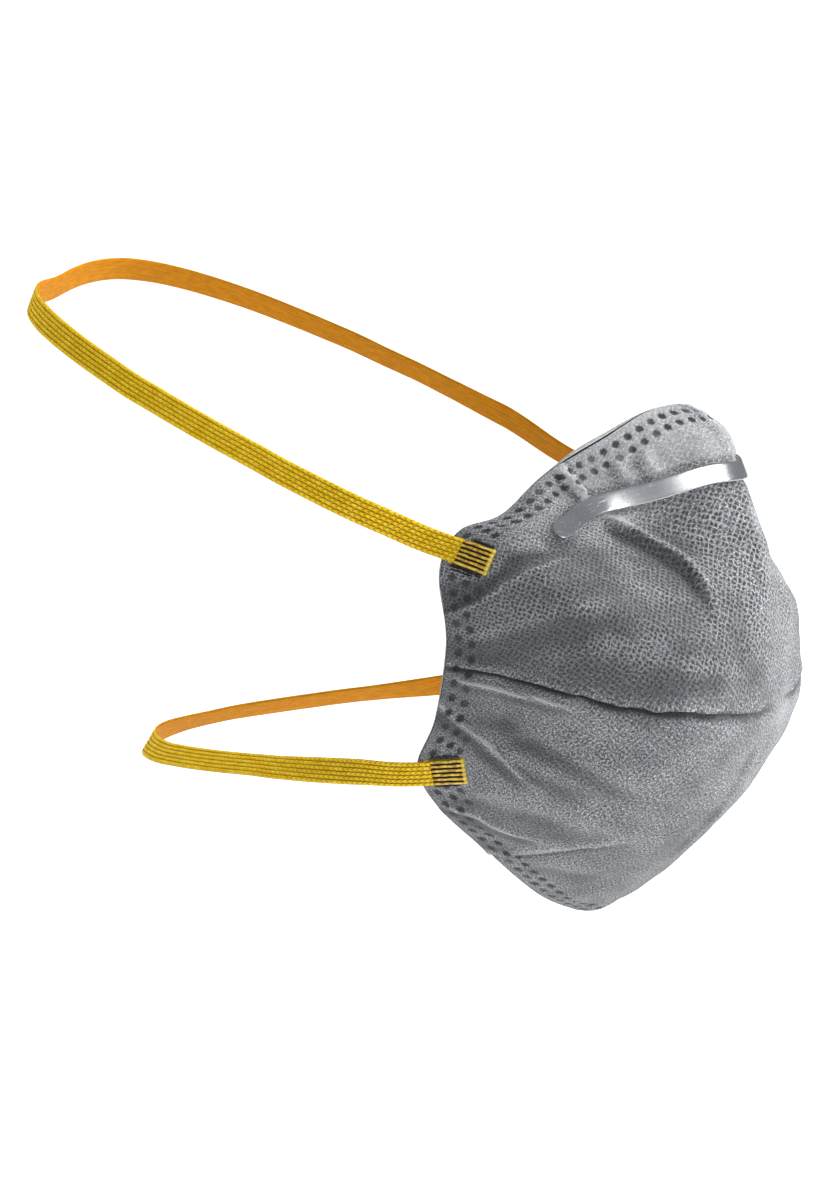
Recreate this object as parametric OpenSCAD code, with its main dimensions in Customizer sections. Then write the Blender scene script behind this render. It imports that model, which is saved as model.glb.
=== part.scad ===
// Disposable cup-shaped dust mask with two elastic head straps.
// +Z is up as the mask is worn, -Y is the way the wearer looks, and +X is
// the wearer's left. The origin is the centre of the face opening.

/* [Cup] */
// Half of the cup's width at the cheeks
half_width = 59; // [54:0.5:64]
// Height of the nose peak above the centre of the face opening
nose_height = 56; // [54:0.5:62]
// Drop of the chin edge below the centre of the face opening
chin_drop = 69; // [65:0.5:74]
// How far the nose peak stands forward of the cheeks
nose_reach = 45; // [42:0.5:50]
// How far the chin edge stands forward of the cheeks
chin_reach = 24; // [18:0.5:28]
// How far the front of the cup stands forward of the cheeks
cup_depth = 68; // [64:0.5:74]
// Drop of the foremost point of the cup below the centre of the opening
front_drop = 12; // [6:0.5:16]
// Squareness of the cup seen from above, 2 being an ellipse
fullness = 3; // [2.4:0.1:3.4]
// How far the top of the nose edge curls back to the wearer
nose_curl = 6; // [0:0.5:8]

/* [Webs] */
// Thickness of the outer cover web
cover_t = 0.5; // [0.3:0.05:0.8]
// Thickness of the activated carbon web
carbon_t = 0.6; // [0.3:0.05:0.8]
// Thickness of the filter web
filter_t = 0.4; // [0.2:0.05:0.6]
// Thickness of the moulded support shell
shell_t = 0.8; // [0.5:0.05:1]
// Thickness of the inner liner web
liner_t = 0.4; // [0.2:0.05:0.6]
// Share of each thickness that is left in the welded edge band
weld_squeeze = 0.45; // [0.3:0.05:0.8]
// Width of the welded edge band
band_w = 9; // [6:0.5:12]

/* [Nose clip and foam] */
// Width of the nose clip
clip_w = 5; // [4:0.5:6]
// Thickness of the nose clip
clip_t = 0.9; // [0.7:0.1:1.2]
// Thickness of the glue under the nose clip
glue_t = 0.4; // [0.3:0.05:0.5]
// Width of the nose foam
foam_w = 11; // [8:0.5:12]
// Thickness of the nose foam
foam_t = 3.5; // [2:0.5:4]

/* [Straps] */
// Width of both straps
strap_w = 6.3; // [5:0.1:7]
// Thickness of both straps
strap_t = 1; // [0.8:0.1:1.2]
// Length of each welded strap end
weld_l = 9; // [7:0.5:11]
// Thickness of each welded strap end
weld_t = 0.6; // [0.4:0.1:0.9]
// Gap between a strap's free run and its welded end
strap_gap = 0.4; // [0.3:0.05:0.6]
// Rise of the upper strap's run above level
upper_rise = 23.5; // [18:0.5:28]
// Reach of the upper strap behind its welds
upper_reach = 131; // [124:1:140]
// Fall of the lower strap's run below level
lower_fall = 6; // [2:1:10]
// Reach of the lower strap behind its welds
lower_reach = 90; // [84:1:100]

/* [Hidden] */

tape_t = 0.3;                 // tape under the nose foam
sink = 0.15;                  // how far a bonded piece bites into its web

// Half of the edge of the mask, from the nose peak down to the chin:
// share of the half width, y, and height
edge_keys = [
    [0.00, -nose_reach, nose_height],
    [0.20, 6 - nose_reach, nose_height - 0.5],
    [0.40, 14 - nose_reach, nose_height - 6],
    [0.60, 24.5 - nose_reach, nose_height - 13],
    [0.77, 32 - nose_reach, nose_height - 21],
    [0.88, -4.5, 31.5],
    [0.97, -2, 22],
    [0.99, -4, 6],
    [1.00, -1.5, -12],
    [1.00, 3, -24],
    [0.93, -0.5, 35 - chin_drop],
    [0.75, 15.5 - chin_reach, 23 - chin_drop],
    [0.43, 5.5 - chin_reach, 7 - chin_drop],
    [0.00, -chin_reach, -chin_drop]
];
half_keys = len(edge_keys) - 1;
around = 6 * half_keys;       // points around the edge
rings = 12;                   // rings from the edge to the front
wall_l = 0.88 * (cup_depth + half_width);   // edge to front over the surface
band_share = band_w / wall_l;

side_from = 20;               // degrees round from the top where the side begins
side_full = 80;               // and where it has its whole shape
ridge_half = 30;              // half the angle that the nose ridge takes up
valley_from = 0.3;            // share of the way out where the nose valley begins
brow_curve = 1.9;             // power of the curve from the front up to the nose
chin_curve = 1.8;             // power of the curve from the front down to the chin
curl_sharp = 16;              // how near the edge the nose curls back

// Point k of the closed ring of edge keys, the far half mirrored
function edge_key(k) =
    let(m = (k % (2 * half_keys) + 2 * half_keys) % (2 * half_keys),
        q = m > half_keys ? 2 * half_keys - m : m,
        side = m > half_keys ? -1 : 1,
        p = edge_keys[q])
    [side * half_width * p[0], p[1], p[2]];

// Smooth curve through four points, at s from the second to the third
function spline(a, b, c, d, s) =
    0.5 * (2 * b + (c - a) * s + (2 * a - 5 * b + 4 * c - d) * s * s
        + (3 * b - a - 3 * c + d) * s * s * s);

// Edge of the mask at u, counted in keys from the nose peak
function edge_at(u) =
    let(k = floor(u))
    spline(edge_key(k - 1), edge_key(k), edge_key(k + 1), edge_key(k + 2), u - k);

// Smooth step from 0 to 1 as x goes from a to b
function ease(a, b, x) =
    let(s = max(0, min(1, (x - a) / (b - a))))
    s * s * (3 - 2 * s);

// Share of the way out from the foremost point, at t from the edge inwards
function out_side(t) =
    let(a = 90 * (1 - t))
    sin(a) / pow(pow(sin(a), fullness) + pow(cos(a), fullness), 1 / fullness);

// Cup surface at edge place u, and at t from 0 at the edge to 1 at the front
function cup_at(u, t) =
    let(edge = edge_at(u),
        across = [edge[0], edge[2] + front_drop],
        turn = atan2(abs(across[0]), across[1]),
        top = turn < 90,
        w_side = top ? ease(side_from, side_full, turn) : sin(turn),
        r = t >= 1 ? 0 : w_side * out_side(t) + (1 - w_side) * (1 - t),
        f_side = 1 - pow(max(0, 1 - pow(r, fullness)), 1 / fullness),
        f_valley = ease(valley_from, 1, r),
        w_valley = ease(0, ridge_half, turn),
        f_top = w_valley * f_valley + (1 - w_valley) * pow(r, brow_curve),
        f = w_side * f_side + (1 - w_side) * (top ? f_top : pow(r, chin_curve)),
        curl = top ? nose_curl * (1 - w_valley) : 0)
    [across[0] * r,
     -cup_depth + (edge[1] + cup_depth - curl) * f + curl * pow(r, curl_sharp),
     -front_drop + across[1] * r];

// Outward normal of the cup surface
function cup_normal(u, t) =
    t >= 1 ? [0, -1, 0] :
    let(n = cross(cup_at(u, min(1, t + 0.01)) - cup_at(u, max(0, t - 0.01)),
                  cup_at(u + 0.05, t) - cup_at(u - 0.05, t)))
    n / norm(n);

function ring_t(j) =
    j == 0 ? 0 : band_share + (1 - band_share) * (j - 1) / (rings - 1);

cup_grid = [for (j = [0:rings - 1]) [for (i = [0:around - 1])
    cup_at(i / 3, ring_t(j))]];
normal_grid = [for (j = [0:rings - 1]) [for (i = [0:around - 1])
    cup_normal(i / 3, ring_t(j))]];

// Points of the cup at a depth under its outer face, ending at the front
function skin(depth) = concat(
    [for (j = [0:rings - 1]) for (i = [0:around - 1])
        cup_grid[j][i] - normal_grid[j][i] * depth * (j < 2 ? weld_squeeze : 1)],
    [[0, depth - cup_depth, -front_drop]]);

skin_n = rings * around;      // number of the front point in a skin

// Triangles of a skin, each a list of three points
skin_faces = concat(
    [for (j = [0:rings - 2]) for (i = [0:around - 1])
        let(a = j * around + i, b = j * around + (i + 1) % around)
        each [[a, b, b + around], [a, b + around, a + around]]],
    [for (i = [0:around - 1])
        [(rings - 1) * around + i, (rings - 1) * around + (i + 1) % around, skin_n]]);

// One web of the cup, from one depth under the outer face to another
module web(from, to) {
    shift = skin_n + 1;
    polyhedron(
        points = concat(skin(from), skin(to)),
        faces = concat(
            skin_faces,
            [for (f = skin_faces) [f[0] + shift, f[2] + shift, f[1] + shift]],
            [for (i = [0:around - 1])
                let(k = (i + 1) % around)
                each [[i, k + shift, k], [i, i + shift, k + shift]]]));
}

depths = [0, cover_t, cover_t + carbon_t, cover_t + carbon_t + filter_t,
    cover_t + carbon_t + filter_t + shell_t,
    cover_t + carbon_t + filter_t + shell_t + liner_t];

// Closed bar whose cross-sections are lists of the same number of points
module bar(sections) {
    n = len(sections[0]);
    last = len(sections) - 1;
    polyhedron(
        points = [for (s = sections) for (p = s) p],
        faces = concat(
            [for (k = [0:last - 1]) for (i = [0:n - 1])
                let(a = k * n + i, b = k * n + (i + 1) % n)
                each [[a, b + n, b], [a, a + n, b + n]]],
            [[for (i = [0:n - 1]) i]],
            [[for (i = [n - 1:-1:0]) last * n + i]]));
}

clip_end_u = 4.05;            // edge place of the nose clip's end
clip_t_mid = 0.25;            // t of the clip's middle over the nose
clip_t_end = 0.16;            // t of its ends

// Middle line of the nose clip over the nose, s running from -1 to 1
function clip_u(s) = clip_end_u * s;
function clip_t_at(s) = clip_t_mid + (clip_t_end - clip_t_mid) * s * s;

// Cross-section of a strip that follows the clip's line, w wide,
// between two heights over the outer face
function strip_section(s, w, low, high) =
    let(u = clip_u(s), t = clip_t_at(s),
        p = cup_at(u, t),
        n = cup_normal(u, t),
        run = cup_at(clip_u(s + 0.01), clip_t_at(s + 0.01))
            - cup_at(clip_u(s - 0.01), clip_t_at(s - 0.01)),
        side = cross(n, run),
        b = side / norm(side) * w / 2)
    [p - b + n * low, p + b + n * low, p + b + n * high, p - b + n * high];

strip_steps = 24;             // cross-sections of a strip on each side
round_end = 0.06;             // share of the clip's half that a round end takes
tip = 0.45;                   // width at the very end, as a share of the width

// Strip along the clip's line, reach being its share of the clip's length
module strip(w, low, high, reach, rounded) {
    bar([for (k = [-strip_steps:strip_steps])
        let(s = reach * k / strip_steps,
            from_end = reach - abs(s),
            taper = !rounded || from_end >= round_end ? 1
                : tip + (1 - tip) * sqrt(1 - pow(1 - from_end / round_end, 2)))
        strip_section(s, w * taper, low, high)]);
}

// Where each strap is welded to the cup: edge place and distance from the
// edge of the weld's rear end, and the move of the edge place at its front
upper_weld = [5.5, 2.2, 0.25];
lower_weld = [9.1, 2.5, -0.1];

// t of the place that lies a distance forward of the edge, found by halving
function t_forward(u, far, low = 0, high = 0.5, left = 16) =
    let(mid = (low + high) / 2)
    left == 0 ? mid
        : cup_at(u, 0)[1] - cup_at(u, mid)[1] < far ? t_forward(u, far, mid, high, left - 1)
        : t_forward(u, far, low, mid, left - 1);

upper_half = 63;              // half width of the upper strap's loop
lower_half = 61;              // half width of the lower strap's loop
upper_lean = 31;              // degrees that the upper strap leans to the head
lower_lean = 44;              // and the lower strap
lean_by = 0.3;                // h at which a strap has its whole lean
start_in = 2.2;               // how far outside its weld the upper run starts
start_fade = 8;               // how soon the upper run swings out to its loop
rear_drop = 5;                // sag of the upper strap behind the head
rear_fade = 6;                // how near the rear the sag begins

// Middle of a weld on the outer face, l running forward from 0 to 1
function weld_place(weld, l) =
    let(u = weld[0] + weld[2] * l) [u, t_forward(u, weld[1] + weld_l * l)];
function weld_at(weld, l) =
    let(place = weld_place(weld, l)) cup_at(place[0], place[1]);

upper_pin = weld_at(upper_weld, 0);             // where the free runs bend
lower_pin = weld_at(lower_weld, 0);
upper_in = upper_half - upper_pin[0] - start_in;   // its start inside the loop

// Half loop of a strap at h, from 0 at the weld to 1 behind the head:
// x, and distance behind the weld
function loop_at(h, half, reach, square, blunt) =
    let(a = 90 * pow(h, square / 2))
    [half * pow(cos(a), 2 / blunt), reach * pow(sin(a), 2 / square)];

// Middle line of the upper strap, side being -1 or 1
upper_at = function (h, side)
    let(p = loop_at(h, upper_half, upper_reach, 3, 2.6),
        r = strap_gap + p[1])
    [side * (p[0] - upper_in * pow(1 - h, start_fade)),
     upper_pin[1] + r * cos(upper_rise),
     upper_pin[2] + r * sin(upper_rise) - rear_drop * pow(h, rear_fade)];

// Middle line of the lower strap
lower_at = function (h, side)
    let(p = loop_at(h, lower_half, lower_reach, 1, 2.2),
        r = strap_gap + p[1])
    [side * p[0],
     lower_pin[1] + r * cos(lower_fall),
     lower_pin[2] - r * sin(lower_fall)];

// Cross-section of a strap with its middle at p and running along run
function strap_section(p, run, lean) =
    let(t = run / norm(run),
        up0 = [0, 0, 1] - t * t[2],
        up = up0 / norm(up0),
        outward = cross(up, t),
        wide = (up * cos(lean) - outward * sin(lean)) * strap_w / 2,
        flat = cross(t, wide),
        thick = flat / norm(flat) * strap_t / 2)
    [p - wide - thick, p + wide - thick, p + wide + thick, p - wide + thick];

strap_steps = 26;             // cross-sections of a strap's run on each side

// Free run of a strap from one weld round to the other
module strap_run(line, lean) {
    along = function (k) line(1 - abs(k) / strap_steps, k < 0 ? -1 : 1);
    bar([for (k = [-strap_steps:strap_steps])
        let(run = along(min(k + 1, strap_steps)) - along(max(k - 1, -strap_steps)),
            h = 1 - abs(k) / strap_steps)
        strap_section(along(k), run, lean * ease(0, lean_by, h))]);
}

weld_steps = 4;               // stretches of a welded end

// Welded end of a strap, pressed into the cover, side being -1 or 1
module strap_end(weld, side) {
    mirror([side < 0 ? 1 : 0, 0, 0])
    bar([for (k = [0:weld_steps])
        let(l = k / weld_steps,
            p = weld_at(weld, l),
            place = weld_place(weld, l),
            n = cup_normal(place[0], place[1]),
            run = weld_at(weld, l + 0.05) - weld_at(weld, l - 0.05),
            across = cross(n, run),
            b = across / norm(across) * strap_w / 2)
        [p - b - n * sink, p + b - n * sink, p + b + n * weld_t, p - b + n * weld_t]]);
}

module outer_cover() { color("gray") web(depths[0], depths[1]); }
module carbon_layer() { color("dimgray") web(depths[1], depths[2]); }
module filter_layer() { color("white") web(depths[2], depths[3]); }
module support_shell() { color("gainsboro") web(depths[3], depths[4]); }
module inner_liner() { color("whitesmoke") web(depths[4], depths[5]); }

module nose_clip() { color("silver") strip(clip_w, glue_t, glue_t + clip_t, 1, true); }
module clip_glue() { color("ivory") strip(clip_w - 1, -sink, glue_t, 0.94, false); }

tape_top = -depths[5] - tape_t;   // height of the tape's inner face
module foam_tape() {
    color("ivory") strip(foam_w - 1, tape_top, -depths[5] + sink, 0.84, false);
}
module nose_foam() {
    color("darkgray") strip(foam_w, tape_top - foam_t, tape_top, 0.88, true);
}

module upper_strap() { color("gold") strap_run(upper_at, upper_lean); }
module lower_strap() { color("gold") strap_run(lower_at, lower_lean); }

module upper_strap_end_left() { color("goldenrod") strap_end(upper_weld, 1); }
module upper_strap_end_right() { color("goldenrod") strap_end(upper_weld, -1); }
module lower_strap_end_left() { color("goldenrod") strap_end(lower_weld, 1); }
module lower_strap_end_right() { color("goldenrod") strap_end(lower_weld, -1); }

outer_cover();
carbon_layer();
filter_layer();
support_shell();
inner_liner();
nose_clip();
clip_glue();
nose_foam();
foam_tape();
upper_strap();
lower_strap();
upper_strap_end_left();
upper_strap_end_right();
lower_strap_end_left();
lower_strap_end_right();
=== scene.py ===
"""Looks of a disposable cup-shaped dust mask: five nested webs with a dot-welded edge, an
aluminium nose clip, a nose foam, and two braided head straps with melted, welded ends."""
import math

import bpy
import numpy as np
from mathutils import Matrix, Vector


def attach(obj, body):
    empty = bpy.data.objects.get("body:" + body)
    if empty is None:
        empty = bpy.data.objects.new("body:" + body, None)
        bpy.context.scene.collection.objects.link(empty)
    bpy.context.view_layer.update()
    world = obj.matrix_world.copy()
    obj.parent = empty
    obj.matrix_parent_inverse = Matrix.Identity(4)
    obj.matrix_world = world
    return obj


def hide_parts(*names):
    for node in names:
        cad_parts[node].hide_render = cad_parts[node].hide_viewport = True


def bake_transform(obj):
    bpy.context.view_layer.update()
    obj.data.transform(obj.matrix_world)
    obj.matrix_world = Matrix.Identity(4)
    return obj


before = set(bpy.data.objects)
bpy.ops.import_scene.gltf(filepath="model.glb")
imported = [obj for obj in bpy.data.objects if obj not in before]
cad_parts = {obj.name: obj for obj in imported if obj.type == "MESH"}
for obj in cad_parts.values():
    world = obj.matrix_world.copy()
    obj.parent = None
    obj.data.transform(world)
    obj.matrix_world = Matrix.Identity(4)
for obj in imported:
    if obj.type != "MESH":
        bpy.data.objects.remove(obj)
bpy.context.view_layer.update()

MM = 0.001

# ---------------------------------------------------------------- camera

AZIMUTH, ELEVATION = math.radians(-71.6), math.radians(11.5)
DISTANCE = 1.8
LENS = 224.1                  # for the long side of the frame
AIM_ACROSS, AIM_UP = -0.0224, 0.0048      # place looked at, beside and above the origin
back = Vector((math.sin(AZIMUTH) * math.cos(ELEVATION), -math.cos(AZIMUTH) * math.cos(ELEVATION),
               math.sin(ELEVATION)))
right = Vector((math.cos(AZIMUTH), math.sin(AZIMUTH), 0))
camera = bpy.data.objects.new("camera", bpy.data.cameras.new("camera"))
bpy.context.scene.collection.objects.link(camera)
camera.data.lens = LENS
camera.data.clip_end = 100
camera.location = right * AIM_ACROSS + back.cross(right) * AIM_UP + back * DISTANCE
camera.rotation_mode = "QUATERNION"
camera.rotation_quaternion = (-back).to_track_quat("-Z", "Y")
bpy.context.scene.camera = camera

# ---------------------------------------------------------------- sizes, in millimetres, as in CAD
HALF_WIDTH = 59
NOSE_HEIGHT = 56
CHIN_DROP = 69
NOSE_REACH = 45
CHIN_REACH = 24
CUP_DEPTH = 68
FRONT_DROP = 12               # how far the foremost point lies below the origin
FULLNESS = 3                  # 2 for a round cup, more for a squarer one
NOSE_CURL = 6                 # how far the nose's edge flares forward
WEB_THICKNESS = {"outer_cover": 0.5, "carbon_layer": 0.6, "filter_layer": 0.4,
                 "support_shell": 0.8, "inner_liner": 0.4}
WELD_SQUEEZE = 0.45           # share of a web's thickness left in the band
BAND = 9                      # width of the welded edge band
CLIP_W, CLIP_T, GLUE_T = 5, 0.9, 0.4
FOAM_W, FOAM_T, TAPE_T = 11, 3.5, 0.3
STRAP_W, STRAP_T = 6.3, 1.0
WELD_L, WELD_T = 9, 0.6
STRAP_GAP = 0.4
# Welds of the straps: place round the edge, distance from the edge, and slant
UPPER_WELD = (5.5, 2.2, 0.2)
LOWER_WELD = (9.1, 2.5, -0.1)

# Half of the edge, from the nose peak down to the chin: share of the half width, y, and height
EDGE_KEYS = [
    (0.00, -NOSE_REACH, NOSE_HEIGHT), (0.20, 6 - NOSE_REACH, NOSE_HEIGHT - 0.5),
    (0.40, 14 - NOSE_REACH, NOSE_HEIGHT - 6), (0.60, 24.5 - NOSE_REACH, NOSE_HEIGHT - 13),
    (0.77, 32 - NOSE_REACH, NOSE_HEIGHT - 21), (0.88, -4.5, 31.5), (0.97, -2, 22),
    (0.99, -4, 6), (1.00, -1.5, -12), (1.00, 3, -24), (0.93, -0.5, 35 - CHIN_DROP),
    (0.75, 15.5 - CHIN_REACH, 23 - CHIN_DROP), (0.43, 5.5 - CHIN_REACH, 7 - CHIN_DROP),
    (0.00, -CHIN_REACH, -CHIN_DROP)]

# ---------------------------------------------------------------- the cup's form


def ease(low, high, x):
    """Smooth step from 0 to 1 as x goes from low to high."""
    s = np.clip((x - low) / (high - low), 0, 1)
    return s * s * (3 - 2 * s)


half_edge = np.array([(HALF_WIDTH * x, y, z) for x, y, z in EDGE_KEYS])
edge_ring = np.concatenate([half_edge, half_edge[-2:0:-1] * (-1, 1, 1)])
KEYS = len(edge_ring)


def through(points, k, s):
    """Smooth curve between points k and k + 1 of a closed ring, s running from 0 to 1."""
    a, b, c, d = (points[(k + step) % len(points)] for step in (-1, 0, 1, 2))
    return 0.5 * (2 * b + (c - a) * s + (2 * a - 5 * b + 4 * c - d) * s**2
                  + (3 * b - a - 3 * c + d) * s**3)


def edge_at(u):
    """Edge of the mask at u, counted in keys from the nose peak."""
    k = np.floor(u).astype(int)
    return through(edge_ring, k, (u - k)[..., None])


def cup_at(u, t):
    """Outer face at edge place u, and at t from 0 at the edge to 1 at the front."""
    u, t = np.broadcast_arrays(np.asarray(u, float), np.asarray(t, float))
    edge = edge_at(u)
    across, rise = edge[..., 0], edge[..., 2] + FRONT_DROP
    turn = np.degrees(np.arctan2(np.abs(across), rise))
    top = turn < 90
    w_side = np.where(top, ease(20, 80, turn), np.sin(np.radians(turn)))
    a = np.radians(90 * (1 - t))
    out_side = np.sin(a) / (np.sin(a)**FULLNESS + np.cos(a)**FULLNESS)**(1 / FULLNESS)
    r = w_side * out_side + (1 - w_side) * (1 - t)
    f_side = 1 - np.clip(1 - r**FULLNESS, 0, None)**(1 / FULLNESS)
    w_valley = ease(0, 30, turn)
    f_top = w_valley * ease(0.3, 1, r) + (1 - w_valley) * r**1.9
    f = w_side * f_side + (1 - w_side) * np.where(top, f_top, r**1.8)
    curl = np.where(top, NOSE_CURL * (1 - w_valley), 0)
    y = -CUP_DEPTH + (edge[..., 1] + CUP_DEPTH - curl) * f + curl * r**16
    return np.stack([across * r, y, rise * r - FRONT_DROP], -1)


def unit(v):
    """Vectors brought to length 1."""
    return v / np.maximum(np.linalg.norm(v, axis=-1, keepdims=True), 1e-9)


def run_over(points):
    """Distance along a line at each of its points."""
    return np.concatenate([[0], np.cumsum(np.linalg.norm(np.diff(points, axis=0), axis=1))])


def places_on(points, along, at):
    """Places on a line whose points lie at the distances along, one for each distance at."""
    return np.stack([np.interp(at, along, points[:, k]) for k in range(3)], -1)


def cup_normal(u, t):
    """Outward normal of the cup's outer face."""
    inward = cup_at(u, np.minimum(t + 0.01, 1)) - cup_at(u, np.maximum(t - 0.01, 0))
    return unit(np.cross(inward, cup_at(u + 0.05, t) - cup_at(u - 0.05, t)))


# Lengths over the surface, measured once on a fine net of lines from the edge to the front
NET_U = np.linspace(0, KEYS, 20 * KEYS + 1)
NET_T = np.linspace(0, 1, 301)**3
net = cup_at(NET_U[:, None], NET_T[None, :])
from_edge = np.zeros(net.shape[:2])
from_edge[:, 1:] = np.cumsum(np.linalg.norm(np.diff(net, axis=1), axis=2), axis=1)
wall = from_edge[:, -1]
rim_run = run_over(net[:, 0])
RIM = rim_run[-1]
bearing = np.unwrap(np.arctan2(net[:, 0, 0], net[:, 0, 2] + FRONT_DROP))
FLATTEN = 0.1                 # how much a flat web's radius falls short of the formed one


def look_up(table, u, t):
    """Value of a table over the net, between its lines."""
    i = np.clip(u / KEYS * (len(NET_U) - 1), 0, len(NET_U) - 1.001)
    j = np.clip(np.cbrt(t) * (len(NET_T) - 1), 0, len(NET_T) - 1.001)
    k, m = i.astype(int), j.astype(int)
    x, y = i - k, j - m
    low = table[k, m] * (1 - x) + table[k + 1, m] * x
    return low * (1 - y) + (table[k, m + 1] * (1 - x) + table[k + 1, m + 1] * x) * y


def flat_radius(run, whole):
    """Distance from the middle of the flat web, for a distance run over the formed one."""
    return run * (1 - FLATTEN * (run / whole)**2)


# ---------------------------------------------------------------- folds, on the flat web
# The flat web's own coordinates: millimetres across, and up, from the foremost point. The
# wearer's right is at negative values across. A fold runs from the edge inwards, and its left
# is the upper side. Each fold: points, height, width, kind.
MAIN_FOLD = [(-94, 20), (-86, 18.5), (-78, 15), (-66, 9), (-54, 4.5), (-38, 1.5), (-20, -1.5), (0, -3)]
FOLDS = [
    ([(-92, 17), (-87, 13.5), (-80, 10), (-72, 6.5), (-62, 2)], 1.3, 1.4, "crest"),
    ([(-95, 8), (-92, 1), (-87, -6), (-79, -16), (-71, -23)], 1.5, 1.5, "crest"),
    ([(-90, 36), (-83, 38), (-72, 42), (-62, 44), (-50, 46)], 2.3, 3.6, "shelf"),
    ([(-86, 47), (-77, 49), (-66, 50), (-54, 51)], 0.9, 2.6, "soft"),
    ([(-39, 67), (-36.5, 62), (-35, 58), (-32.5, 53)], 2.4, 1.7, "roll"),
    ([(-36, 55), (-31, 49), (-27, 43), (-25, 36), (-26, 27), (-29, 20)], 2.0, 3.4, "lip"),
    ([(-19, 62), (-18, 57), (-15, 51)], 0.9, 1.5, "soft"),
    ([(-25, 63), (-23, 58), (-20, 53)], 0.7, 1.3, "soft"),
    ([(-88, -33), (-80, -35), (-70, -38), (-57, -41)], 1.5, 1.8, "crest"),
    ([(-66, -56), (-62, -48), (-58, -42), (-50, -36), (-38, -34)], 1.9, 2.8, "lip"),
    ([(-87, -24), (-76, -25), (-64, -28), (-50, -33)], 1.3, 3.8, "soft"),
    ([(-82, 4), (-72, -5), (-58, -13), (-44, -18)], 1.1, 3.4, "soft"),
    ([(-84, -8), (-72, -14), (-58, -22)], 0.9, 3.0, "soft"),
    ([(-84, 29), (-74, 32), (-60, 31), (-48, 28)], 0.8, 3.0, "soft"),
    ([(-56, -50), (-46, -47), (-36, -44)], 0.7, 3.5, "soft"),
    ([(-20, -76), (-16, -66), (-14, -56)], 0.8, 3.0, "soft"),
    ([(0, 69), (0.5, 60), (0, 49)], 1.3, 2.0, "crest"),
    ([(-2, 44), (-3.5, 30), (-6, 17)], 0.8, 2.6, "soft"),
    ([(-7, -12), (-12, -25), (-17, -36), (-20, -48)], 0.7, 3.0, "soft"),
]
# The wearer's left side has the right one's first nine folds, each a little moved and lower
FAR_SHIFT = [(2, -3), (-1, 4), (0, 1), (3, -1), (-2, 2), (4, 0), (-3, 1), (1, 3), (-2, -3)]
FAR_HEIGHT = 0.85
FOLD_LIGHT = 1.45             # how strongly painted light and shade are laid over the folds
FOLD_SPAN = 16                # farthest that a fold is felt from its points
DEEPEST = -0.5                # deepest hollow, as the web below lies close under it


def fold_curve(points, steps=14):
    """Smooth line through a fold's points."""
    p = np.array(points, float)
    p = np.concatenate([[2 * p[0] - p[1]], p, [2 * p[-1] - p[-2]]])
    s = np.linspace(0, 1, steps, endpoint=False)[:, None]
    parts = [through(p, k, s) for k in range(1, len(p) - 2)]
    return np.concatenate(parts + [p[-2:-1]])


def beside(across, up, line):
    """Distance to the left of a line, and share of the way along it."""
    d = (across[:, None] - line[:, 0])**2 + (up[:, None] - line[:, 1])**2
    near = np.argmin(d, axis=1)
    near = np.clip(near, 0, len(line) - 2)
    run = unit(line[near + 1] - line[near])
    x, y = across - line[near, 0], up - line[near, 1]
    along = x * run[:, 0] + y * run[:, 1]
    left = run[:, 0] * y - run[:, 1] * x
    reach = near / (len(line) - 1)
    beyond = np.where((near == 0) & (along < 0), -along, 0)
    beyond = np.where((near == len(line) - 2) & (along > 2), along - 2, beyond)
    return left, reach, beyond


def hill(x, middle, width, power=2):
    """A smooth hill that is 1 at its middle."""
    return np.exp(-((x - middle) / width)**power)


def profile(kind, left, width):
    """Height over a fold as a share of its height, and how light (above 0) or shaded it is."""
    apart = np.abs(left)
    if kind == "soft":
        height = hill(left, 0, width)
        light = 0.22 * height - 0.3 * hill(left, -1.3 * width, width)
    elif kind == "crest":
        height = 0.65 * np.exp(-apart / (0.6 * width)) + 0.35 * hill(left, 0, 2.4 * width)
        light = 0.9 * hill(left, 0, 0.55) - 0.4 * hill(left, -1.5 * width, width)
    elif kind == "roll":
        height = np.sqrt(np.clip(1 - (left / width)**2, 0, 1))
        light = 0.75 * hill(left, 0, 0.8 * width, 4)
        light -= 0.6 * hill(left, -width - 0.8, 0.8) + 0.4 * hill(left, width + 0.6, 0.7)
    elif kind == "shelf":
        height = np.where(left > 0, hill(left, 0, 0.4 * width), np.exp(-apart / (1.8 * width)))
        height -= 0.4 * hill(left, 1.1 * width, width)
        light = 0.5 * hill(left, 0, 0.55) - 0.42 * hill(left, 0.9 * width, 0.8 * width)
    else:
        dip = hill(left, -0.8 * width, 0.6 * width)
        height = np.where(left > 0, np.exp(-apart / (1.3 * width)), hill(left, 0, 0.28 * width))
        height -= 0.3 * dip
        light = 0.6 * hill(left, 0.7, 1.1) - 0.55 * dip
    return height, light


def crevice(left, torn):
    """The main fold: the upper web hangs over a narrow gap, and a roll swells below it. Gives
    the height, the painted light and shade, the painted shade in the gap, and how far the lip hangs down."""
    under = np.where(left < -0.2, np.exp((left + 0.2) / 1.5), 0)
    roll = hill(left, -5, 3.6)
    lip = np.where(left >= 0, np.exp(-left / 2.2), 0)
    far_up = np.where(left >= 0, hill(left, 5, 4), 0)
    height = 1.05 * lip - 0.65 * under + 1.0 * roll - 0.35 * far_up
    # painted highlight on the lip, patchy where torn is low, and painted shade under it
    light = 0.75 * torn * hill(left, 0.5, 0.6) - 0.6 * under + 0.2 * roll - 0.25 * far_up
    # painted shade in the narrow gap
    gap = hill(left, -1.05, 1.05, 4)
    hang = 0.8 * np.exp(-np.abs(left - 0.4) / 1.2) * (left > -0.2)
    return height, light, gap, hang


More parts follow.
